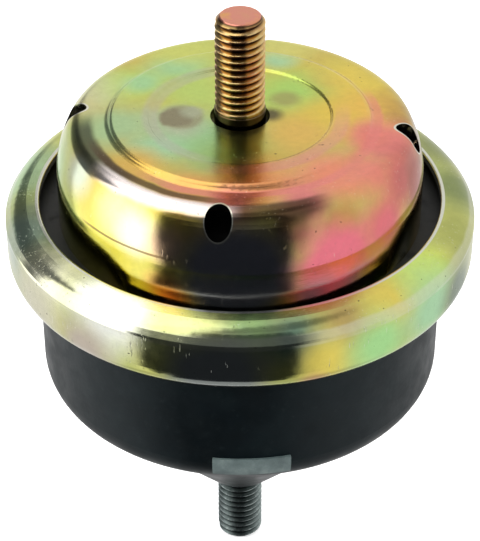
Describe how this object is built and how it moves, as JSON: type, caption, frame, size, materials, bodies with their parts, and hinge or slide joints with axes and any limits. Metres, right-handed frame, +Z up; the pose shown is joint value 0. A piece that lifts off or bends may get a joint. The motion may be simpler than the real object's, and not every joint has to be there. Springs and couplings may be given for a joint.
{
  "type": "engine mount",
  "caption": "Hydraulic engine mount: a bell cap with an upper stud on a rubber spring, crimped into a fluid-filled lower cup with a lower stud.",
  "frame": {"origin": "centre of the lower boss's end face, where the mount seats on the chassis bracket", "axes": "+Z up along the mount's axis to the upper stud; -Y towards the side with the label strip"},
  "size_m": [0.095, 0.095, 0.1321],
  "materials": {
    "yellow_zinc_sheet": "satin",
    "yellow_zinc_stud": "satin",
    "zinc_stud": "satin",
    "rubber": "matte",
    "forged_steel": "matte",
    "bare_steel_sheet": "satin",
    "cast_aluminium": "matte",
    "black_paint": "satin",
    "grey_label": "matte"
  },
  "bodies": {
    "root": {"upper_stud": "yellow_zinc_stud", "bell_cap": "yellow_zinc_sheet", "rebound_buffer": "rubber", "inner_core": "forged_steel", "main_spring": "rubber", "outer_armature": "bare_steel_sheet", "crimp_ring": "yellow_zinc_sheet", "upper_grid": "bare_steel_sheet", "track_body": "cast_aluminium", "decoupler": "rubber", "lower_grid": "bare_steel_sheet", "track_rivets": "bare_steel_sheet", "diaphragm_ring": "bare_steel_sheet", "diaphragm": "rubber", "lower_cup": "black_paint", "lower_stud": "zinc_stud", "id_label": "grey_label"}
  },
  "joints": []
}
